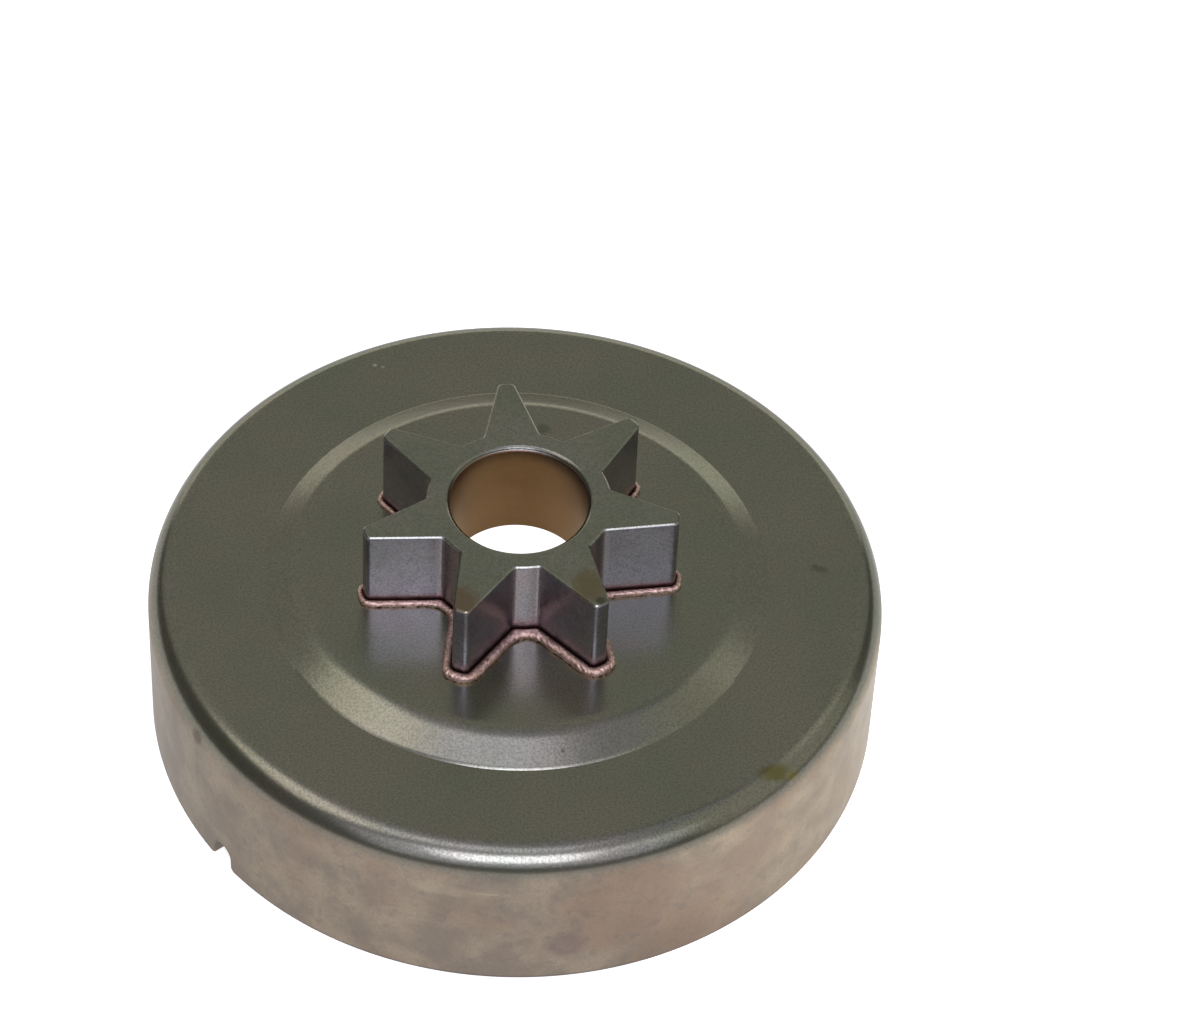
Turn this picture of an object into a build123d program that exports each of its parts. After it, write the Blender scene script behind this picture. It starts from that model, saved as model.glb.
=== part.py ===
from build123d import *
import math
import os

# A chainsaw's clutch drum with a seven-tooth spur sprocket brazed to its face.
# Millimetres. The rim stands on z = 0, the axis is Z and the sprocket points up.

# The drum, drawn from one round of sheet
drum_diameter = 70.0
drum_height = 17.0
sheet = 1.8
corner_radius = 3.1
rim_break = 0.25

# The raised boss in the middle of the drum's face
boss_diameter = 48.2
boss_flat_diameter = 36.0
boss_height = 1.7

# The oil-drive notch in the rim
notch_angle = 213.8
notch_width = 2.6
notch_depth = 2.7
notch_mouth_radius = 0.5

# The sprocket's teeth
tooth_count = 7
first_tooth_angle = 90.0
tooth_height = 8.9
tip_diameter = 30.2
tip_width = 1.5
tip_corner_radius = 0.3
root_diameter = 17.3
tooth_root_width = 5.1
root_corner_radius = 0.5
tooth_edge_break = 0.15

# The bore that runs on a needle cage, and the spigot in the drum's hole
bore_diameter = 13.0
bore_chamfer = 0.45
spigot_wall = 1.5
spigot_edge_break = 0.3
spigot_clearance = 0.02

# The copper braze round the foot of the teeth
bead_width = 0.8
bead_height = 0.8
bead_bevel = 0.45

drum_radius = drum_diameter / 2
inner_radius = drum_radius - sheet
boss_radius = boss_diameter / 2
boss_flat_radius = boss_flat_diameter / 2
seat_z = drum_height + boss_height
under_z = seat_z - sheet
tip_radius = tip_diameter / 2
root_radius = root_diameter / 2
bore_radius = bore_diameter / 2
spigot_radius = bore_radius + spigot_wall
hole_radius = spigot_radius + spigot_clearance

# The boss's edge is one arc, level at the flat and sloping where it meets the outer ring
boss_run = boss_radius - boss_flat_radius
boss_arc_radius = (boss_run**2 + boss_height**2) / (2 * boss_height)
boss_slope = math.asin(boss_run / boss_arc_radius)
boss_slope_way = (-math.cos(boss_slope), math.sin(boss_slope))
boss_slope_degrees = math.degrees(boss_slope)

# The flanks are straight, so a tooth keeps widening inwards until it is lost in the root disc
flank_lean = (tooth_root_width - tip_width) / 2 / (tip_radius - root_radius)
tooth_heel_half = tooth_root_width / 2 + flank_lean * (root_radius - bore_radius)

os.makedirs("parts", exist_ok=True)

# The drum is half a section of bent sheet, turned once round the axis; its inside is plain cones
with BuildPart() as clutch_drum:
    with BuildSketch(Plane.XZ) as drum_section:
        with BuildLine() as drum_outline:
            outer_wall = Line((drum_radius, 0), (drum_radius, drum_height - corner_radius))
            outer_corner = JernArc(outer_wall @ 1, (0, 1), corner_radius, 90)
            outer_ring = Line(outer_corner @ 1, (boss_radius, drum_height))
            boss_edge = JernArc(outer_ring @ 1, boss_slope_way, boss_arc_radius, boss_slope_degrees)
            boss_flat = Line(boss_edge @ 1, (hole_radius, seat_z))
            hole_wall = Line(boss_flat @ 1, (hole_radius, under_z))
            under_flat = Line(hole_wall @ 1, (boss_flat_radius, under_z))
            under_edge = Line(under_flat @ 1, (boss_radius, drum_height - sheet))
            under_ring = Line(under_edge @ 1, (drum_radius - corner_radius, drum_height - sheet))
            inner_corner = Line(under_ring @ 1, (inner_radius, drum_height - corner_radius))
            inner_wall = Line(inner_corner @ 1, (inner_radius, 0))
            rim = Line(inner_wall @ 1, outer_wall @ 0)
        make_face()
        rim_corners = drum_section.vertices().group_by(Axis.Y)[0]
        chamfer(rim_corners, rim_break)
    revolve(axis=Axis.Z)

    # The notch is drawn on a plane that faces out through the wall, round on top, eased at its mouth
    wall_way = Vector(1, 0, 0).rotate(Axis.Z, notch_angle)
    along_rim = Vector(0, 1, 0).rotate(Axis.Z, notch_angle)
    with BuildSketch(Plane(origin=(0, 0, 0), x_dir=along_rim, z_dir=wall_way)) as notch:
        with Locations((0, notch_depth - notch_width / 2)):
            Circle(notch_width / 2)
            Rectangle(notch_width, notch_depth, align=(Align.CENTER, Align.MAX))
        Rectangle(3 * notch_width, notch_depth, align=(Align.CENTER, Align.MAX))
        mouth_corners = notch.vertices().sort_by_distance((0, 0))[:2]
        fillet(mouth_corners, notch_mouth_radius)
    extrude(amount=drum_radius + sheet, mode=Mode.SUBTRACT)

clutch_drum.part.label = "clutch_drum"
export_step(clutch_drum.part, "parts/clutch_drum.step")

# One tooth is set round the root disc, then the roots and the tips are eased
with BuildSketch(Plane.XY.offset(seat_z)) as tooth_outline:
    Circle(root_radius)
    with PolarLocations(0, tooth_count, start_angle=first_tooth_angle):
        Polygon(
            (bore_radius, -tooth_heel_half),
            (tip_radius, -tip_width / 2),
            (tip_radius, tip_width / 2),
            (bore_radius, tooth_heel_half),
            align=None,
        )
    root_corners = tooth_outline.vertices().sort_by(SortBy.DISTANCE)[: 2 * tooth_count]
    fillet(root_corners, root_corner_radius)
    tip_corners = tooth_outline.vertices().sort_by(SortBy.DISTANCE)[-2 * tooth_count :]
    fillet(tip_corners, tip_corner_radius)

# The sprocket is that outline pulled up, with its spigot below and the bore through both
with BuildPart() as spur_sprocket:
    extrude(tooth_outline.sketch, amount=tooth_height)
    tooth_top = spur_sprocket.faces().sort_by(Axis.Z)[-1]
    chamfer(tooth_top.edges(), tooth_edge_break)

    with BuildSketch(Plane.XY.offset(under_z)) as spigot:
        Circle(spigot_radius)
    extrude(amount=sheet)
    spigot_end = spur_sprocket.faces().sort_by(Axis.Z)[0]
    chamfer(spigot_end.edges(), spigot_edge_break)

    with BuildSketch(Plane.XY.offset(under_z)) as bore:
        Circle(bore_radius)
    extrude(amount=sheet + tooth_height, mode=Mode.SUBTRACT)
    bore_mouth = spur_sprocket.faces().sort_by(Axis.Z)[-1].edges().sort_by(SortBy.DISTANCE)[0]
    chamfer(bore_mouth, bore_chamfer)

spur_sprocket.part.label = "spur_sprocket"
export_step(spur_sprocket.part, "parts/spur_sprocket.step")

# The braze follows the same outline, a bead's width further out, with its crest bevelled off
with BuildPart() as braze_bead:
    with BuildSketch(Plane.XY.offset(seat_z)) as bead_outline:
        add(tooth_outline.sketch_local)
        offset(amount=bead_width, kind=Kind.ARC)
    extrude(amount=bead_height)
    bead_crest = braze_bead.faces().sort_by(Axis.Z)[-1]
    chamfer(bead_crest.edges(), bead_bevel)
    extrude(tooth_outline.sketch, amount=bead_height, mode=Mode.SUBTRACT)

braze_bead.part.label = "braze_bead"
export_step(braze_bead.part, "parts/braze_bead.step")
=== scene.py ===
# %% [markdown]
# # A chainsaw's clutch drum and sprocket, dressed in Blender
# The CAD part arrives as three nodes: a pressed drum, a toothed spur and the copper braze between
# them. We load it first and keep its box, because nothing that we add may be larger than that.

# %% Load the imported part
import bpy
import math
import numpy as np
from mathutils import Matrix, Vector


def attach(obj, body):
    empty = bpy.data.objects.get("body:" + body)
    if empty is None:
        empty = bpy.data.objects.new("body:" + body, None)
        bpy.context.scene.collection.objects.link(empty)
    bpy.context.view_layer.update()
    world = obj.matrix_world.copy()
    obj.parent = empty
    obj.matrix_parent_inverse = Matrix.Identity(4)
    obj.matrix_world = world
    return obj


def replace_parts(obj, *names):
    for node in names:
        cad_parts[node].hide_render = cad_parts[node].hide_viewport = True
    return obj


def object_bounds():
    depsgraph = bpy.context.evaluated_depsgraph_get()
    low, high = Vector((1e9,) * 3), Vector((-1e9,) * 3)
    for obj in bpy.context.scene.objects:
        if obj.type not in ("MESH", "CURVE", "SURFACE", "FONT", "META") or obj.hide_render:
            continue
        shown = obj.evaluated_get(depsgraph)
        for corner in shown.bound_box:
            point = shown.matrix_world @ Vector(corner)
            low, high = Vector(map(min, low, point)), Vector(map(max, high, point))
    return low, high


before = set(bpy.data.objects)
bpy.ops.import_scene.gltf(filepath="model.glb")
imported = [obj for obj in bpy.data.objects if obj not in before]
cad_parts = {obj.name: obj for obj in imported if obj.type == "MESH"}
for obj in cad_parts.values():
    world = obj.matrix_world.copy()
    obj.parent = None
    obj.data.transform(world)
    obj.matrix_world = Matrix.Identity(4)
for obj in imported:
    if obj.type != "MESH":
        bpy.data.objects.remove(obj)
cad_low, cad_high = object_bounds()
MM = 0.001
print("CAD nodes:", sorted(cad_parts), "box in mm:", [round(v / MM, 2) for v in cad_high - cad_low])

# %% [markdown]
# ## From a grid of points to a mesh
# Every piece here is a grid: one direction follows a section, the other goes round the part. Both
# close on themselves, so a piece is a ring with no open edge. Primitives and booleans could give such
# shapes too, but their uneven faces would show in the reflections. Here numpy works out all points at
# once, and one index pattern turns any such grid into quads. The sign of the ring's volume tells
# whether its faces point outwards. Edges sharper than a given angle stay crisp, the rest is smooth.

# %% The ring maker
def ring_quads(around, along):
    """Corner (i, j) of a grid that closes both ways joins (i+1, j), (i+1, j+1) and (i, j+1), each
    index counted round. Point (i, j) has the number i * along + j."""
    i, j = np.meshgrid(np.arange(around), np.arange(along), indexing="ij")
    i2, j2 = (i + 1) % around, (j + 1) % along
    return np.stack([i * along + j, i2 * along + j, i2 * along + j2, i * along + j2], -1).reshape(-1, 4)


def ring_mesh(name, points, crisp_degrees):
    """A mesh of the closed grid points[around, along]. Its volume is a sixth of the sum, over quads
    a b c d, of a . (b x c + c x d), and it is below zero where the quads face inwards."""
    quads = ring_quads(*points.shape[:2])
    flat = points.reshape(-1, 3)
    a, b, c, d = (flat[quads[:, k]] for k in range(4))
    volume = np.einsum("nk,nk->", a, np.cross(b, c) + np.cross(c, d)) / 6
    quads = quads if volume > 0 else quads[:, ::-1]
    mesh = bpy.data.meshes.new(name)
    mesh.from_pydata((flat * MM).tolist(), [], quads.tolist())
    mesh.shade_smooth()
    mesh.set_sharp_from_angle(angle=math.radians(crisp_degrees))
    piece = bpy.data.objects.new(name, mesh)
    bpy.context.scene.collection.objects.link(piece)
    print(name, "has", 2 * len(quads), "triangles and holds", round(abs(volume)), "cubic mm")
    return piece


print("a ring of 5 by 4 points has", len(ring_quads(5, 4)), "quads")

# %% [markdown]
# ## The drum
# The real drum is one disc of sheet steel, drawn down into a cup. Its section is a wall, a rounded
# corner, a flat ring and a low boss with a sloping edge, and the inside follows the outside at one
# sheet's thickness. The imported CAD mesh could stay, but the corner's highlight would show its coarser
# facets, so a finer turned surface stands in for it. Its section is a chain of arcs and straight runs.

# %% Arcs and runs
def arc(centre, radius, start, end, steps):
    """Points centre + radius * (cos a, sin a) for angles a from start to end, in degrees."""
    a = np.radians(np.linspace(start, end, steps))
    return np.stack([centre[0] + radius * np.cos(a), centre[1] + radius * np.sin(a)], -1)


def run(start, end, steps):
    """Points start + t (end - start) for t from 0 up to, and without, 1."""
    t = np.linspace(0, 1, steps, endpoint=False)[:, None]
    return (1 - t) * np.array(start, float) + t * np.array(end, float)


print("a quarter circle in three points:", arc((0, 0), 1, 0, 90, 3).round(3).tolist())

# %% [markdown]
# The section starts at the rim, goes up the wall, over the corner and the boss to the centre hole,
# and back along the inside. The drum's radius and the part's height are read off the CAD's box. At the
# front the press also left a narrow, steeper line at the foot of the slope, which shines, so the
# section has a point at the top of that line. The straight stretches that show start a little past
# the round or crease before them, which keeps the shading of the flats flat.

# %% The drum's section
DRUM_R, TOP = round(cad_high[0] / MM, 3), round(cad_high[2] / MM, 3)
SHEET, CORNER, RIM_BREAK, HOLE_R, TOOTH_H = 1.8, 3.1, 0.25, 8.02, 8.9
BOSS_R, BOSS_H, BOSS_SLOPE, BOSS_ROUND, PRESS_LINE = 24.1, 1.7, 27.0, 4.4, 0.22
WALL_FROM, PAST_CORNER, PAST_CREASE, PAST_PRESS, PAST_ROUND = 0.6, 0.3, 0.12, 0.08, 0.4
INNER_R, SEAT = DRUM_R - SHEET, TOP - TOOTH_H
DRUM_H = SEAT - BOSS_H
slope = math.radians(BOSS_SLOPE)
slope_drop = BOSS_H - BOSS_ROUND * (1 - math.cos(slope))
slope_top = (BOSS_R - slope_drop / math.tan(slope), DRUM_H + slope_drop)
press_top = (BOSS_R - PRESS_LINE, DRUM_H + PRESS_LINE * math.tan(slope))
flat_r = slope_top[0] - BOSS_ROUND * math.sin(slope)
corner_centre, round_centre = (DRUM_R - CORNER, DRUM_H - CORNER), (flat_r, SEAT - BOSS_ROUND)
under_round = arc(round_centre, BOSS_ROUND - SHEET, 90, 90 - BOSS_SLOPE, 6)
under_foot = (BOSS_R - SHEET * math.tan(slope / 2), DRUM_H - SHEET)
drum_section = np.concatenate([
    arc((DRUM_R - RIM_BREAK, RIM_BREAK), RIM_BREAK, -90, 0, 5),
    run((DRUM_R, WALL_FROM), (DRUM_R, DRUM_H - CORNER), 14),
    arc(corner_centre, CORNER, 0, 90, 27),
    run((DRUM_R - CORNER - PAST_CORNER, DRUM_H), (BOSS_R + PAST_CREASE, DRUM_H), 8),
    [(BOSS_R + PAST_CREASE, DRUM_H), (BOSS_R, DRUM_H), press_top],
    run(np.add(press_top, (-PAST_PRESS, PAST_PRESS * math.tan(slope))), slope_top, 8),
    arc(round_centre, BOSS_ROUND, 90 - BOSS_SLOPE, 90, 14),
    run((flat_r - PAST_ROUND, SEAT), (HOLE_R, SEAT), 8),
    run((HOLE_R, SEAT), (HOLE_R, SEAT - SHEET), 3),
    run((HOLE_R, SEAT - SHEET), under_round[0], 6),
    under_round,
    run(under_round[-1], under_foot, 5)[1:],
    run(under_foot, (corner_centre[0], DRUM_H - SHEET), 7),
    arc(corner_centre, CORNER - SHEET, 90, 0, 12),
    run((INNER_R, DRUM_H - CORNER - PAST_ROUND), (INNER_R, WALL_FROM), 14),
    arc((INNER_R + RIM_BREAK, RIM_BREAK), RIM_BREAK, 180, 270, 5),
])
print("drum section:", len(drum_section), "points; the boss is flat up to", round(flat_r, 2), "mm")

# %% [markdown]
# The rim has one notch, where a wire from the oil pump hooks in. A boolean could cut it, and would
# leave long thin faces in the wall. Instead the rim's own height becomes a function: zero all round,
# and the notch's U shape at one place.

# %% The rim's height
NOTCH_W, NOTCH_D, MOUTH = 2.6, 2.7, 0.5
NOTCH_HALF = NOTCH_W / 2


def rim_height(x):
    """Height of the rim at a distance x from the notch's middle: a half circle on straight sides,
    two small rounds at the mouth, and zero beyond."""
    top = NOTCH_D - NOTCH_HALF + np.sqrt(np.clip(NOTCH_HALF**2 - x**2, 0, None))
    mouth = MOUTH - np.sqrt(np.clip(MOUTH**2 - (np.abs(x) - NOTCH_HALF - MOUTH) ** 2, 0, None))
    return np.where(np.abs(x) < NOTCH_HALF, top, np.where(np.abs(x) < NOTCH_HALF + MOUTH, mouth, 0.0))


print("the notch is", round(float(rim_height(0.0)), 2), "mm deep in its middle")

# %% [markdown]
# Columns of the grid crowd together at the notch, so its steep sides stay sharp, and stand a degree
# apart elsewhere. Low points of the wall ride up on the rim's height, the lower the more. The press
# line is made in the same way: it lifts the foot of the slope, and only in front.

# %% The drum
NOTCH_AT, NOTCH_REACH, STEEP, BESIDE, FAR_FROM = 213.8, 8.0, 0.012, (2.4, 3.0), 6.2
PRESS_SLOPE, PRESS_AT = 40.0, -96.3
press_rise = PRESS_LINE * (math.tan(math.radians(PRESS_SLOPE)) - math.tan(slope))


def notch_columns():
    """Distances from the notch's middle: sines over the arch, a column STEEP to either side of the
    straight side, cosines over the mouth's round, the columns BESIDE it, and all of them mirrored."""
    arch = NOTCH_HALF * np.sin(np.linspace(0, 1.45, 10))
    steep = NOTCH_HALF + np.array([-STEEP, STEEP])
    mouth = NOTCH_HALF + MOUTH * (1 - np.cos(np.linspace(0.25, 1.57, 7)))
    right_half = np.sort(np.concatenate([arch, steep, mouth, BESIDE]))
    return np.concatenate([-right_half[:0:-1], right_half])


def drum_points():
    """(r cos a, r sin a, z) for the section's (r, z) at every angle a. Near the notch a column keeps
    its distance x from the notch's middle, so a = arcsin(x / r), and low points ride up on the rim.
    The press line lifts the slope's foot by press_rise cos^3 (a - PRESS_AT), in front only."""
    x = notch_columns()
    far = np.radians(np.arange(FAR_FROM, 360 - FAR_FROM, 1.0))
    radius, height = drum_section[None, :, 0], drum_section[None, :, 1]
    near_angle = np.arcsin(x[:, None] / np.clip(radius, INNER_R, DRUM_R))
    angle = np.concatenate([near_angle, np.repeat(far[:, None], len(drum_section), 1)])
    a = angle + math.radians(NOTCH_AT)
    lift = np.concatenate([rim_height(x), np.zeros(len(far))])[:, None]
    in_wall = (radius > INNER_R - SHEET / 2) & (height < NOTCH_REACH)
    raised = height + np.where(in_wall, lift * (1 - height / NOTCH_REACH), 0.0)
    above_line = (radius - slope_top[0]) / (press_top[0] - slope_top[0])
    press = np.clip(np.minimum((BOSS_R - radius) / PRESS_LINE, above_line), 0, 1) * (height > DRUM_H)
    raised = raised + press_rise * press * np.clip(np.cos(a - math.radians(PRESS_AT)), 0, 1) ** 3
    return np.stack([radius * np.cos(a), radius * np.sin(a), raised], -1)


drum = ring_mesh("drum", drum_points(), crisp_degrees=29)
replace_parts(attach(drum, "root"), "clutch_drum")

# %% [markdown]
# ## The spur's outline
# The real spur has seven straight-sided teeth round a root circle. Its outline could be drawn as a
# curve and filled, but a grid needs the same points in every row. Every line from the axis crosses
# the outline once, so half a tooth is written as a few stretches with small rounds between them. Its
# points lie closer together on the rounds.

# %% Half a tooth
TEETH, TIP_R, TIP_W, TIP_ROUND = 7, 15.1, 1.5, 0.55
ROOT_R, ROOT_W, ROOT_ROUND = 8.65, 5.1, 0.5
flank = math.atan((ROOT_W - TIP_W) / 2 / (TIP_R - ROOT_R))


def half_tooth():
    """From the middle of the tip to the middle of the gap, in the tooth's own frame (u out, v across):
    tip flat, tip round, straight flank, root round, root circle. The root round's centre lies
    ROOT_ROUND off the flank and ROOT_ROUND outside the root circle."""
    degrees = math.degrees(flank)
    cut = TIP_ROUND * math.tan(math.radians(45 - degrees / 2))
    tip = arc((TIP_R - TIP_ROUND, TIP_W / 2 - cut), TIP_ROUND, 0, 90 - degrees, 8)
    inwards = np.array([-math.cos(flank), math.sin(flank)])
    start = np.array([TIP_R, TIP_W / 2]) + ROOT_ROUND * np.array([math.sin(flank), math.cos(flank)])
    b, c = start @ inwards, start @ start - (ROOT_R + ROOT_ROUND) ** 2
    centre = start + (-b - math.sqrt(b * b - c)) * inwards
    bearing = math.degrees(math.atan2(centre[1], centre[0]))
    root = arc(centre, ROOT_ROUND, 270 - degrees, 180 + bearing, 7)
    land = arc((0, 0), ROOT_R, bearing, 180 / TEETH, 7)
    return np.concatenate([run((TIP_R, 0), tip[0], 3), tip, run(tip[-1], root[0], 16)[1:], root, land[1:]])


half_line = half_tooth()
print("half a tooth:", len(half_line), "points; its flank leans", round(math.degrees(flank), 1), "degrees")

# %% [markdown]
# Mirroring that line gives a tooth, and turning the tooth seven times gives the outline. From here on
# each point also has the direction that faces out of the outline, and a spoke from the axis.

# %% Seven teeth
one_tooth = np.concatenate([half_line[-2:0:-1] * [1, -1], half_line])
turns = np.radians(90 + 360 / TEETH * np.arange(TEETH))
out_way = np.stack([np.cos(turns), np.sin(turns)], -1)
across_way = np.stack([-np.sin(turns), np.cos(turns)], -1)
outline = np.einsum("pk,tkc->tpc", one_tooth, np.stack([out_way, across_way], 1)).reshape(-1, 2)
onward = np.roll(outline, -1, 0) - np.roll(outline, 1, 0)
onward /= np.linalg.norm(onward, axis=1, keepdims=True)
outward = np.stack([onward[:, 1], -onward[:, 0]], -1)
spoke = outline / np.linalg.norm(outline, axis=1, keepdims=True)
print("outline:", len(outline), "points round", TEETH, "teeth")

# %% [markdown]
# ## The spur
# The real spur is one hardened steel piece with a ground bore. Pulling the outline up and bevelling it
# would do, but then every edge is alike. Here each row of the grid is a closed line round the spur:
# circles inside the bore, the outline on the walls, and steps between the two on the top face. The
# real teeth's top edges are broken by a narrow bevel, and where it faces the light it shines as a thin
# line, so the rows there follow a flat bevel with softened ends. The bore's chamfer was turned in two
# cuts, which leaves a fine step.

# %% The spur
BORE_R, BORE_END, SPIGOT_R, SPIGOT_BREAK, EDGE = 6.5, 0.51, 8.0, 0.3, 0.17
UNDER = SEAT - SHEET
CHAMFER_OUT_DOWN = [(0.01, 0.44), (0.18, 0.29), (0.20, 0.25), (0.21, 0.20), (0.40, 0.04), (0.50, 0.0)]
BEVEL_IN_DOWN = [(1.0, 0.0), (0.86, 0.06), (0.8, 0.11), (0.14, 0.68), (0.08, 0.74), (0.0, 0.9)]
FACE_SHARES = (0.2, 0.4, 0.6, 0.8, 0.94)
MOUTH_R = BORE_R + CHAMFER_OUT_DOWN[-1][0]


def level(plan, z):
    """A row of the grid: a plan of (x, y) points at one height, or at a height for each point."""
    return np.column_stack([plan, np.broadcast_to(z, len(plan))])


def spur_points():
    """Rows up the bore r = BORE_R, over its stepped chamfer, out across the top from circle to
    outline, over the edge's bevel, whose rows lie some way inside the outline and below the top, and
    down the walls to the spigot."""
    bore = [level(BORE_R * spoke, z) for z in np.linspace(UNDER, TOP - BORE_END, 8)]
    lip = [level((BORE_R + out) * spoke, TOP - down) for out, down in CHAMFER_OUT_DOWN]
    inset = outline - EDGE * outward
    face = [level((1 - share) * MOUTH_R * spoke + share * inset, TOP) for share in FACE_SHARES]
    edge = [level(outline - EDGE * way_in * outward, TOP - EDGE * down) for way_in, down in BEVEL_IN_DOWN]
    wall = [level(outline, z) for z in np.linspace(TOP - 2 * EDGE, SEAT, 8)]
    spigot = [level(r * spoke, z) for r, z in [
        (SPIGOT_R, SEAT), (SPIGOT_R, UNDER + SPIGOT_BREAK), (SPIGOT_R - SPIGOT_BREAK, UNDER)]]
    return np.stack(bore + lip + face + edge + wall + spigot, 1)


spur = ring_mesh("spur", spur_points(), crisp_degrees=28)
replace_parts(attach(spur, "root"), "spur_sprocket")

# %% [markdown]
# ## The braze bead
# Copper paste melts round the foot of the teeth and freezes as a low, sandy bead. Its edge is an
# offset of the outline, and in the narrow roots the offset's corners meet, so shifting points along
# their normals would fold the mesh. Instead each point slides out along its own spoke until its
# distance to the outline is right. Halving the step again and again finds that place.

# %% Offset by distance
HALVINGS, FARTHEST_GAPS, MARGIN = 16, 12, 0.01


def nearest_foot(plan):
    """The point of the outline's straight steps that is nearest to each point of a plan."""
    a, ab = outline, np.roll(outline, -1, 0) - outline
    ap = plan[:, None] - a
    t = np.clip(np.einsum("pqk,qk->pq", ap, ab) / (ab * ab).sum(-1), 0, 1)
    gap = np.linalg.norm(ap - t[..., None] * ab, axis=-1)
    q = gap.argmin(1)
    return a[q] + t[np.arange(len(plan)), q][:, None] * ab[q]


def offset_outline(plan, gap):
    """The plan pushed out along its spokes, r so that the outline lies a gap away from r * spoke. The
    gap may differ from point to point."""
    base = np.linalg.norm(plan, axis=1)
    spokes = plan / base[:, None]
    low, high = base, base + FARTHEST_GAPS * gap + MARGIN
    for _ in range(HALVINGS):
        middle = (low + high) / 2
        place = middle[:, None] * spokes
        short = np.linalg.norm(place - nearest_foot(place), axis=1) < gap
        low, high = np.where(short, middle, low), np.where(short, high, middle)
    return low[:, None] * spokes


outside = np.linalg.norm(offset_outline(outline, np.ones(len(outline))), axis=1)
print("1 mm outside the outline the radius is", outside.min().round(2), "to", outside.max().round(2), "mm")

# %% [markdown]
# Molten metal rounds off every corner, so each row of the bead is softened along its length: a Fourier
# transform splits the closed line into waves, and the short ones are damped. The lumps are sine waves
# that cross the part in many directions at once. They depend on the place alone, so they run over
# rows and columns alike and the bead looks grainy, not twisted.

# %% Soft lines and lumps
BEAD_STEP = 0.09


def soften(line, reach):
    """A closed line whose waves of frequency f, per mm, are damped by exp(-2 (pi reach f)^2)."""
    f = np.fft.rfftfreq(len(line), BEAD_STEP)
    waves = np.fft.rfft(line, axis=0) * np.exp(-2 * (math.pi * reach * f) ** 2)[:, None]
    return np.fft.irfft(waves, len(line), axis=0)


def ripple(points, seed, wavelength, count=28):
    """Mean of sin(2 pi p . d / wavelength + phase) over random directions d and phases, scaled so
    that its usual size is 1."""
    dice = np.random.default_rng(seed)
    ways = dice.normal(size=(count, 3))
    ways *= 2 * math.pi / wavelength / np.linalg.norm(ways, axis=1, keepdims=True)
    phase = dice.uniform(0, 2 * math.pi, count)
    return np.sin(points @ ways.T + phase).mean(-1) * math.sqrt(2 * count)


steps = np.linalg.norm(np.roll(outline, -1, 0) - outline, axis=1)
print("the outline is", round(steps.sum(), 1), "mm long, or", int(steps.sum() / BEAD_STEP), "bead steps")

# %% [markdown]
# Across, the bead is a rope that lies along the tooth, thicker at the front of the part. A curve with
# a round bevel could stand for it, but would cut through itself in the roots. The rows of this grid
# are offsets of the outline, so they keep apart there. Each point also stores how far across the rope
# it lies, for the colour.

# %% The bead
ROPE_OUT, ROPE_UP, ROPE_R, ROPE_SOFT = 0.40, 0.16, 0.36, 0.6
BACK_SIZE, FRONT_SIZE, GROW_FROM, GROW_OVER = 0.74, 1.28, -2.5, 6.0
LUMP, LONG_LUMP, SHORT_LUMP, TUCK_IN, TUCK_UP = 0.03, 1.7, 0.3, 0.05, 0.15
ON_TOOTH = (0.02, 0.25)
ROPE_ROWS = np.concatenate([[ON_TOOTH], arc((ROPE_OUT, ROPE_UP), ROPE_R, 150, -26, 12)])


def bead_points():
    """Rows at (out, up) = (ROPE_OUT, ROPE_UP) + ROPE_R (cos a, sin a), times a size that grows from
    BACK_SIZE to FRONT_SIZE over GROW_OVER in front of y = GROW_FROM. Each row is softened, then
    swollen from its foot by long and short ripples. The last rows run back under the bead and up
    along the tooth."""
    length = np.append(0, np.cumsum(steps))
    closed = np.append(outline, outline[:1], 0)
    at = np.arange(0, length[-1] - BEAD_STEP / 2, BEAD_STEP)
    plan = np.stack([np.interp(at, length, closed[:, k]) for k in (0, 1)], -1)
    growth = np.clip((GROW_FROM - plan[:, 1]) / GROW_OVER, 0, 1)
    size = BACK_SIZE + (FRONT_SIZE - BACK_SIZE) * growth
    rows = []
    for out, rise in ROPE_ROWS:
        row = level(soften(offset_outline(plan, out * size), ROPE_SOFT * out), SEAT + max(rise, 0) * size)
        foot = level(nearest_foot(row[:, :2]), SEAT)
        swell = 1 + LUMP * ripple(row, seed=3, wavelength=LONG_LUMP)
        swell += LUMP * ripple(row, seed=8, wavelength=SHORT_LUMP)
        rows.append(foot + (row - foot) * swell[:, None])
    inside = plan * (1 - TUCK_IN / np.linalg.norm(plan, axis=1, keepdims=True))
    return np.stack(rows + [level(inside, SEAT), level(inside, SEAT + TUCK_UP)], 1)


bead_grid = bead_points()
bead = ring_mesh("bead", bead_grid, crisp_degrees=60)
across = np.tile(np.append(np.linspace(0, 1, len(ROPE_ROWS)), [1, 0]), len(bead_grid))
bead.data.attributes.new("across", "FLOAT", "POINT").data.foreach_set("value", across.astype(np.float32))
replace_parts(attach(bead, "root"), "braze_bead")

# %% [markdown]
# ## Writing shaders as sums
# A finish is built from many small masks. Wiring each Math node by hand hides what is meant, so a
# socket is wrapped in a class that understands plus, minus, times, divide and power.

# %% Wires
class Wire:
    """One output socket of a finish, on which arithmetic adds Math nodes."""

    def __init__(self, finish, socket):
        self.finish, self.socket = finish, socket

    def maths(self, operation, first, second):
        """A Math node for an operation on two wires or numbers."""
        return self.finish.node("ShaderNodeMath", {"operation": operation}, {0: first, 1: second})

    def __add__(self, other):
        return self.maths("ADD", self, other)

    def __sub__(self, other):
        return self.maths("SUBTRACT", self, other)

    def __rsub__(self, other):
        return self.maths("SUBTRACT", other, self)

    def __mul__(self, other):
        return self.maths("MULTIPLY", self, other)

    def __truediv__(self, other):
        return self.maths("DIVIDE", self, other)

    def __pow__(self, other):
        return self.maths("POWER", self, other)

    __radd__, __rmul__ = __add__, __mul__


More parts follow.
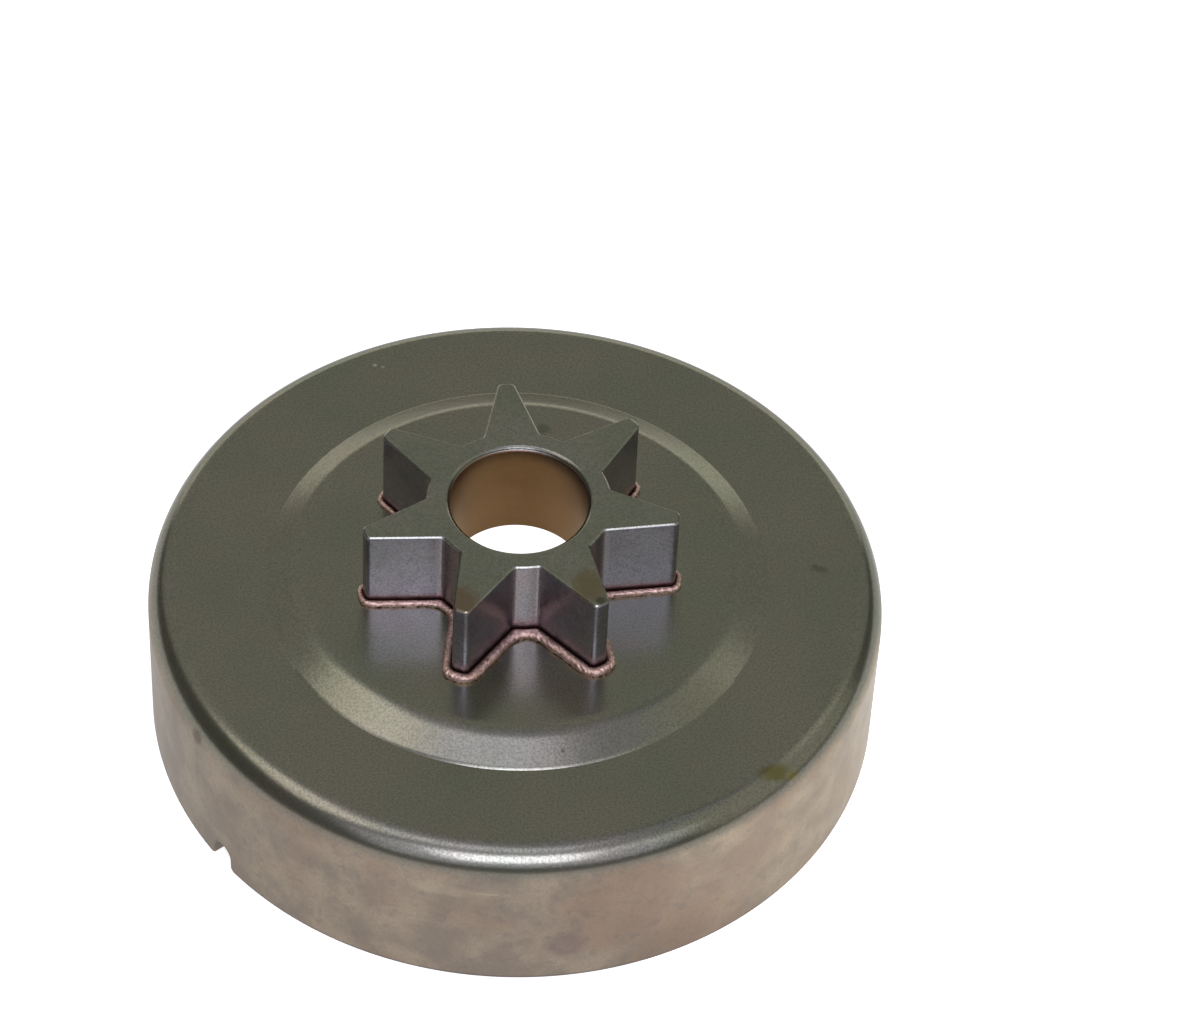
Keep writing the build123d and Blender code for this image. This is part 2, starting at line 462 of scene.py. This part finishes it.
# %% [markdown]
# A finish is one material. Every node that isn't a sum comes from one method: its type, its settings,
# then its inputs. Places are in mm, like the pieces, and the patterns that the finishes share are
# methods too. Colours are given as a screen shows them and turned into linear light.

# %% Finishes and colours
class Finish:
    """A material with one Principled shader, and the few patterns that the finishes here share."""

    def __init__(self, name):
        self.material = bpy.data.materials.new(name)
        self.material.use_nodes = True
        self.tree = self.material.node_tree
        self.shader = self.tree.nodes["Principled BSDF"]
        self.place = self.node("ShaderNodeTexCoord", {}, {}, "Object")
        self.x, self.y, self.z = (
            self.node("ShaderNodeSeparateXYZ", {}, {0: self.place}, axis) / MM for axis in "XYZ")
        self.radius = (self.x * self.x + self.y * self.y) ** 0.5

    def node(self, kind, settings, inputs, out=0):
        """The wanted output of a new node, whose settings are made before its inputs."""
        made = self.tree.nodes.new(kind)
        for name, value in settings.items():
            setattr(made, name, value)
        for name, value in inputs.items():
            self.plug(made.inputs[name], value)
        return Wire(self, made.outputs[out])

    def plug(self, socket, value):
        """Links a wire to a socket, or sets a plain value on it."""
        if isinstance(value, Wire):
            self.tree.links.new(value.socket, socket)
        else:
            socket.default_value = value

    def noise(self, grain, detail):
        """Noise with features of about a grain's size, in mm."""
        return self.node("ShaderNodeTexNoise", {}, {
            "Vector": self.place, "Scale": 1 / (grain * MM), "Detail": detail, "Roughness": 0.55})

    def rise(self, value, low, high):
        """0 below low, 1 above high, and a smooth step between."""
        return self.node("ShaderNodeMapRange", {"interpolation_type": "SMOOTHSTEP"}, {
            "Value": value, "From Min": low, "From Max": high})

    def blend(self, amount, first, second):
        """The first colour where the amount is 0, the second where it is 1."""
        return self.node("ShaderNodeMix", {"data_type": "RGBA"}, {0: amount, 6: first, 7: second}, 2)

    def mark(self, centre, reach, turn, wobble):
        """1 inside an oval blot at a centre, with a reach along three axes (mm), turned about Z by
        some degrees: the square root of the summed squares of offset / reach, plus a wobble that
        makes the edge uneven, fades the blot out between 0.45 and 1.25."""
        c, s = math.cos(math.radians(turn)), math.sin(math.radians(turn))
        dx, dy, dz = self.x - centre[0], self.y - centre[1], self.z - centre[2]
        u = (dx * c + dy * s) / reach[0]
        v = (dy * c - dx * s) / reach[1]
        w = dz / reach[2]
        return 1 - self.rise((u * u + v * v + w * w) ** 0.5 + wobble, 0.45, 1.25)

    def bump(self, height, depth, strength):
        """A height that varies by up to a depth, in mm, as a tilt of the surface."""
        return self.node("ShaderNodeBump", {}, {
            "Height": height, "Distance": depth * MM, "Strength": strength})

    def dress(self, piece, base_color, roughness, normal):
        """Metal all through, with the three things that vary plugged in."""
        self.plug(self.shader.inputs["Base Color"], base_color)
        self.plug(self.shader.inputs["Roughness"], roughness)
        self.plug(self.shader.inputs["Normal"], normal)
        self.shader.inputs["Metallic"].default_value = 1.0
        piece.data.materials.append(self.material)
        self.tell("dressed")

    def tell(self, done):
        """Prints what was done to this finish."""
        print(f"{self.material.name}: {done}, {len(self.tree.nodes)} nodes so far")


def colour(r, g, b):
    """An sRGB colour in 0 to 255, as Blender's linear light."""
    s = np.array([r, g, b]) / 255
    return (*np.where(s <= 0.04045, s / 12.92, ((s + 0.055) / 1.055) ** 2.4).tolist(), 1.0)


print("middle grey in linear light:", [round(v, 3) for v in colour(128, 128, 128)])

# %% [markdown]
# ## The drum's steel
# The flat ring and boss have the olive-grey skin that steel gets in a brazing furnace, fine-grained
# and satin. The drawn wall is a little paler, browner and cloudy, with a dark line of painted contact
# shade at its lower edge, where the drum meets the floor.
# A painted map could hold all that, but height and radius tell the zones apart, so none is needed.

# %% Drum steel
steel = Finish("drum_steel")
wall = (1 - steel.rise(steel.z, 14.2, 15.8)) * steel.rise(steel.radius, 32.5, 34.5)
clouds, patches, flecks, grain = (steel.noise(*mm) for mm in [(13, 4), (4.5, 5), (1.1, 4), (0.21, 2)])
skin = steel.blend(steel.rise(clouds, 0.35, 0.65), colour(123, 126, 110), colour(132, 129, 116))
skin = steel.blend(steel.rise(patches, 0.4, 0.7) * 0.5, skin, colour(130, 125, 110))
side = steel.blend(steel.rise(patches, 0.35, 0.65), colour(121, 111, 99), colour(141, 129, 112))
side = steel.blend(steel.rise(clouds, 0.45, 0.65) * 0.7, side, colour(130, 111, 95))
side = steel.blend(steel.rise(flecks, 0.5, 0.72) * 0.4, side, colour(106, 96, 92))
metal = steel.blend(wall, skin, side)
metal = steel.blend(steel.rise(grain, 0.35, 0.7) * (0.55 - 0.3 * wall), metal, colour(94, 93, 81))
# Painted contact shade: a dark line along the wall's lower edge, where the drum meets the floor.
rim_contact_shade = 1 - steel.rise(steel.z, 0.15, 0.45)
metal = steel.blend(rim_contact_shade * 0.7, metal, colour(70, 60, 50))
steel.tell("skin and wall")

# %% [markdown]
# Real metal is convincing through its few odd marks. They could be painted by hand, but a formula
# keeps each one in place. It is an oval with an uneven edge: a centre, a reach along three axes, a turn
# in degrees, a strength and a tint. The tint of the edge reflection, Specular Tint, is the same all
# over, so it is set on the shader itself.

# %% The drum's marks
DRUM_MARKS = {
    "smear on the ring": ((28.95, -1.1, 17.0), (1.1, 0.5, 2.0), -22, 0.42, (72, 70, 58)),
    "old oil on the corner": ((21.9, -25.4, 17.0), (1.9, 0.9, 1.5), 20, 0.85, (102, 97, 56)),
    "yellow end of the oil": ((23.6, -25.2, 16.0), (1.0, 0.5, 0.9), 20, 0.6, (132, 121, 64)),
    "dull patch behind the teeth": ((3.99, 17.3, 18.7), (0.8, 0.8, 1.0), 0, 0.4, (62, 72, 58)),
    "pit in the slope": ((2.34, -22.58, 17.6), (0.22, 0.18, 1.0), 0, 0.6, (58, 56, 60)),
    "bright nick": ((-11.65, 28.65, 17.0), (0.22, 0.2, 1.0), 0, 0.8, (180, 180, 168)),
    "smaller nick": ((-10.88, 28.33, 17.0), (0.2, 0.16, 1.0), 0, 0.7, (170, 170, 158)),
    "smudge under the corner": ((-31.1, -16.1, 14.6), (0.9, 0.9, 0.9), 0, 0.55, (74, 64, 54)),
    "violet smudge": ((1.8, -34.95, 4.8), (2.1, 1.2, 1.9), 0, 0.34, (98, 84, 86)),
    "pale rub": ((-9.8, -33.6, 12.4), (3.0, 1.5, 0.9), 0, 0.25, (162, 150, 128)),
    "thin scratch": ((-5.67, -34.5, 12.4), (1.5, 1.0, 0.1), -9, 0.32, (178, 166, 146)),
}
wobble = (steel.noise(0.9, 3) - 0.5) * 0.9
for centre, reach, turn, strength, tint in DRUM_MARKS.values():
    metal = steel.blend(steel.mark(centre, reach, turn, wobble) * strength, metal, colour(*tint))
rough = 0.17 + 0.07 * clouds + 0.05 * grain + 0.16 * wall
steel.shader.inputs["Specular Tint"].default_value = (0.66, 0.66, 0.64, 1)
steel.dress(drum, metal, rough, steel.bump(grain + 2 * flecks + 3 * patches * wall, 0.007, 0.55))
print("marks on the drum:", ", ".join(DRUM_MARKS))

# %% [markdown]
# ## The spur's steel
# The top of the teeth has the drum's olive skin. The flanks are smoother and a cool grey, with a
# painted highlight that makes the roots paler, painted light that makes them paler and bluer low down,
# a dark red line at the foot and painted shade on the top edge at the back. Faces could each get their
# own material, but height and radius separate these zones within one.

# %% Teeth and flanks
spur_steel = Finish("spur_steel")
in_bore = 1 - spur_steel.rise(spur_steel.radius, 6.55, 6.68)
below_top = 1 - spur_steel.rise(spur_steel.z, TOP - 0.2, TOP - 0.06)
on_top = (1 - below_top * spur_steel.rise(spur_steel.radius, 7.2, 7.4)) * (1 - in_bore)
clouds, flecks, grain = (spur_steel.noise(*mm) for mm in [(6, 4), (0.9, 4), (0.21, 2)])
cloudy = spur_steel.rise(clouds, 0.35, 0.7)
top_skin = spur_steel.blend(cloudy, colour(124, 127, 112), colour(134, 132, 120))
grey = spur_steel.blend(cloudy, colour(132, 129, 136), colour(146, 143, 150))
grey = spur_steel.blend(spur_steel.rise(flecks, 0.5, 0.72) * 0.4, grey, colour(110, 106, 112))
# Painted highlight: the roots are painted paler, like the bright band of light in them.
root_highlight = 1 - spur_steel.rise(spur_steel.radius, 8.8, 9.4)
grey = spur_steel.blend(root_highlight, grey, colour(164, 158, 162))
# Painted light: the flanks are painted paler and bluer low down, like the light they reflect there.
low_reflection = 1 - spur_steel.rise(spur_steel.z, SEAT + 2, SEAT + 6.5)
grey = spur_steel.blend(low_reflection * 0.4, grey, colour(164, 162, 178))
# A dark red line at the foot of the flanks, just above the bead.
at_foot = 1 - spur_steel.rise(spur_steel.z, SEAT + 0.6, SEAT + 0.95)
grey = spur_steel.blend(at_foot * 0.7, grey, colour(96, 52, 46))
# Painted shade: the top edge's bevel is painted darker at the back of the part.
far_edge_shade = spur_steel.rise(spur_steel.z, TOP - 0.3, TOP - 0.22) * spur_steel.rise(spur_steel.y, 0, 3)
grey = spur_steel.blend(far_edge_shade, grey, colour(76, 76, 68))
spur_steel.tell("teeth and flanks")

# %% [markdown]
# The ground bore has a warm bronze tint from the heat, with painted shade near its mouth and on the
# right. The two front tips are browner than the rest, and one of them has a dark spot.

# %% Bore and tips
bronze = spur_steel.blend(spur_steel.rise(clouds, 0.3, 0.7), colour(99, 70, 41), colour(112, 83, 50))
# Painted shade in the bore: darker towards its mouth and on its right side.
bore_shade_right = spur_steel.rise(spur_steel.z + 0.35 * spur_steel.x, TOP - 1.4, TOP + 1.4)
bore_shade_at_mouth = spur_steel.rise(spur_steel.z, TOP - 1.8, TOP - 0.5)
bronze = spur_steel.blend(bore_shade_right * 0.55 + bore_shade_at_mouth * 0.3, bronze, colour(52, 36, 26))
metal = spur_steel.blend(on_top, grey, top_skin)
metal = spur_steel.blend(in_bore, metal, bronze)
metal = spur_steel.blend(spur_steel.rise(grain, 0.35, 0.7) * (0.5 - 0.3 * in_bore), metal, colour(94, 93, 84))
TIP_MARKS = {
    "right front tip": ((5.5, -11.3, TOP), (1.6, 2.6, 0.4), 0.85, (110, 101, 75)),
    "left front tip": ((-6.2, -12.6, TOP), (1.5, 2.2, 0.4), 0.85, (112, 96, 76)),
    "dark spot": ((6.45, -13.2, TOP), (0.6, 0.55, 0.4), 0.6, (54, 56, 46)),
}
wobble = (spur_steel.noise(0.7, 4) - 0.5) * 1.2
for centre, reach, strength, tint in TIP_MARKS.values():
    metal = spur_steel.blend(spur_steel.mark(centre, reach, 0, wobble) * strength, metal, colour(*tint))
rough = 0.26 + 0.06 * clouds + 0.05 * grain + 0.12 * in_bore - 0.08 * on_top
spur_steel.shader.inputs["Specular Tint"].default_value = (1.0, 0.93, 0.84, 1)
spur_steel.dress(spur, metal, rough, spur_steel.bump(grain + 2 * flecks, 0.007, 0.5))

# %% [markdown]
# ## The copper
# The braze is pinkish copper, sandy, with bright grains, and a dark red line of painted shade in the
# crevice where it meets the wall. That line follows the bead, so a mask by place would not do, and the
# attribute that was stored across the bead is used instead.

# %% Braze copper
copper = Finish("braze_copper")
sand, glints = copper.noise(0.3, 3), copper.noise(0.16, 2)
from_wall = copper.node("ShaderNodeAttribute", {"attribute_name": "across"}, {}, "Fac")
red = copper.blend(copper.rise(sand, 0.35, 0.66), colour(172, 140, 124), colour(216, 188, 172))
# Painted shade: the bead is painted darker and redder in the crevice along the tooth's wall.
red = copper.blend((1 - copper.rise(from_wall, 0.03, 0.3)) * 0.8, red, colour(96, 52, 44))
copper.dress(bead, red, 0.52 - 0.2 * copper.rise(glints, 0.58, 0.72), copper.bump(sand + glints, 0.018, 0.6))

# %% [markdown]
# ## Floor, light and camera
# Metal shows its surroundings more than its own colour. The wall mirrors the floor, so the floor is
# pale and glows a little, like a light table, which also keeps the shadows faint. It glows more under
# the part, so that the bore looks onto white, and beside it on the right. To the camera all of it is
# white, but the wall mirrors the difference.

# %% The pale floor
GLOW_UNDER, GLOW_FAR = (1.1, 1.1, 1.1, 1), (0.35, 0.35, 0.35, 1)
GLOW_BEHIND, GLOW_FRONT, GLOW_RIGHT = (0.72, 0.72, 0.7, 1), (0.62, 0.61, 0.59, 1), (1.5, 1.46, 1.36, 1)
bpy.ops.mesh.primitive_plane_add(size=3.0, location=(0, 0, 0))
floor = bpy.context.object
floor.name = "floor"
paper = Finish("floor_paper")
paper.shader.inputs["Base Color"].default_value = (0.86, 0.86, 0.85, 1)
paper.shader.inputs["Roughness"].default_value = 0.9
paper.shader.inputs["Specular IOR Level"].default_value = 0.1
in_front = 1 - paper.rise(paper.y, -26, -8)
on_right = paper.rise(paper.x, 6, 36) * (1 - paper.rise(paper.y, -2, 12))
beside = paper.blend(in_front, GLOW_BEHIND, GLOW_FRONT)
beside = paper.blend(on_right, beside, GLOW_RIGHT)
near = paper.blend(paper.rise(paper.radius, 30, 34), GLOW_UNDER, beside)
glow = paper.blend(paper.rise(paper.radius, 45, 80), near, GLOW_FAR)
paper.plug(paper.shader.inputs["Emission Color"], glow)
paper.shader.inputs["Emission Strength"].default_value = 1.0
floor.data.materials.append(paper.material)
paper.tell("laid under the part")

# %% [markdown]
# The camera looks down at 47 degrees with a long lens, a little turned and tilted. A target and a
# constraint could aim it, but its frame is built from three unit vectors, so that the angles can be
# read off directly.

# %% The camera
CAMERA_TURN = math.radians(-6.33)
CAMERA_AT = np.array([0, -297.66, 348.54])
PITCH, YAW, ROLL = np.radians([47.259, 1.459, 3.101])
FOCAL_PIXELS, PHOTO_PIXELS, SENSOR_MM = 4686.65, 1200, 36
turned = np.array([[math.cos(CAMERA_TURN), -math.sin(CAMERA_TURN), 0],
                   [math.sin(CAMERA_TURN), math.cos(CAMERA_TURN), 0], [0, 0, 1]])
look = np.array([math.sin(YAW) * math.cos(PITCH), math.cos(YAW) * math.cos(PITCH), -math.sin(PITCH)])
right = np.cross(look, [0, 0, 1])
right /= np.linalg.norm(right)
up = np.cross(right, look)
tilted_right = math.cos(ROLL) * right + math.sin(ROLL) * up
tilted_up = math.cos(ROLL) * up - math.sin(ROLL) * right
pose = np.eye(4)
pose[:3, :3] = turned @ np.stack([tilted_right, tilted_up, -look], 1)
pose[:3, 3] = turned @ CAMERA_AT * MM
camera = bpy.data.objects.new("camera", bpy.data.cameras.new("camera"))
bpy.context.scene.collection.objects.link(camera)
camera.matrix_world = Matrix(pose.tolist())
camera.data.lens = FOCAL_PIXELS / PHOTO_PIXELS * SENSOR_MM
camera.data.clip_start, camera.data.clip_end = 0.01, 20
bpy.context.scene.camera = camera
print("camera lens:", round(camera.data.lens, 1), "mm")

# %% [markdown]
# Each light is a softbox, placed by where the part sees it and as large as the angle that it fills.
# A flat face mirrors the back of the room, so only a dim card stands there. The near slope of the
# boss mirrors the ceiling, its far slope mirrors the paper that sweeps up behind the part, and the
# rounded corner mirrors the bluish window above the camera. A small lamp on the left and a pale card
# on the right complete the room.

# %% The lights
LIT_POINT = np.array([0, 0, 0.015])
DAYLIGHT = (0.76, 0.765, 1.0)


def softbox(name, azimuth, elevation, distance, half_angles, radiance, tint):
    """A rectangle seen from the part at an azimuth from the camera's side and an elevation, with
    sides 2 distance tan(half angle), in metres. Its power is radiance * pi * area."""
    a, e = math.radians(azimuth) + CAMERA_TURN, math.radians(elevation)
    way = np.array([math.sin(a) * math.cos(e), -math.cos(a) * math.cos(e), math.sin(e)])
    wide, high = (2 * distance * math.tan(math.radians(angle)) for angle in half_angles)
    lamp = bpy.data.lights.new(name, "AREA")
    lamp.shape, lamp.size, lamp.size_y = "RECTANGLE", wide, high
    lamp.energy, lamp.color = radiance * math.pi * wide * high, tint
    box = bpy.data.objects.new(name, lamp)
    bpy.context.scene.collection.objects.link(box)
    box.location = way * distance + LIT_POINT
    box.rotation_euler = (math.pi / 2 - e, 0, a)
    print(name, "is", round(wide, 2), "by", round(high, 2), "m")


softbox("window", 2, 45.5, 0.9, (15, 11), 6.5, DAYLIGHT)
softbox("window_glow", 4, 40, 1.3, (38, 21), 1.1, DAYLIGHT)
softbox("ceiling", -13, 78, 1.0, (14, 7.5), 1.75, DAYLIGHT)
softbox("ceiling_glow", -8, 82, 1.3, (30, 22), 0.5, DAYLIGHT)
softbox("lamp", -87, 60, 1.1, (15, 11.5), 1.7, (1.0, 0.95, 0.92))
softbox("right_card", 81, 34, 1.2, (29, 27), 0.48, (1.0, 1.0, 0.92))
softbox("back_card", 180, 46, 1.4, (50, 28), 0.33, (1.0, 1.0, 0.97))
softbox("paper_sweep", 180, 5, 1.4, (38, 7), 1.4, (1.0, 0.97, 0.92))

# %% [markdown]
# Between the softboxes the metal mirrors the room itself, which is a dim grey. The colours above are
# meant as they are, so the plain Standard view shows them without a film look.

# %% The dim room
world = bpy.data.worlds.new("dim_room")
world.use_nodes = True
world.node_tree.nodes["Background"].inputs["Color"].default_value = (0.18, 0.18, 0.17, 1)
bpy.context.scene.world = world
bpy.context.scene.view_settings.view_transform = "Standard"
print("lights:", len(bpy.data.lights), "softboxes in", world.name)
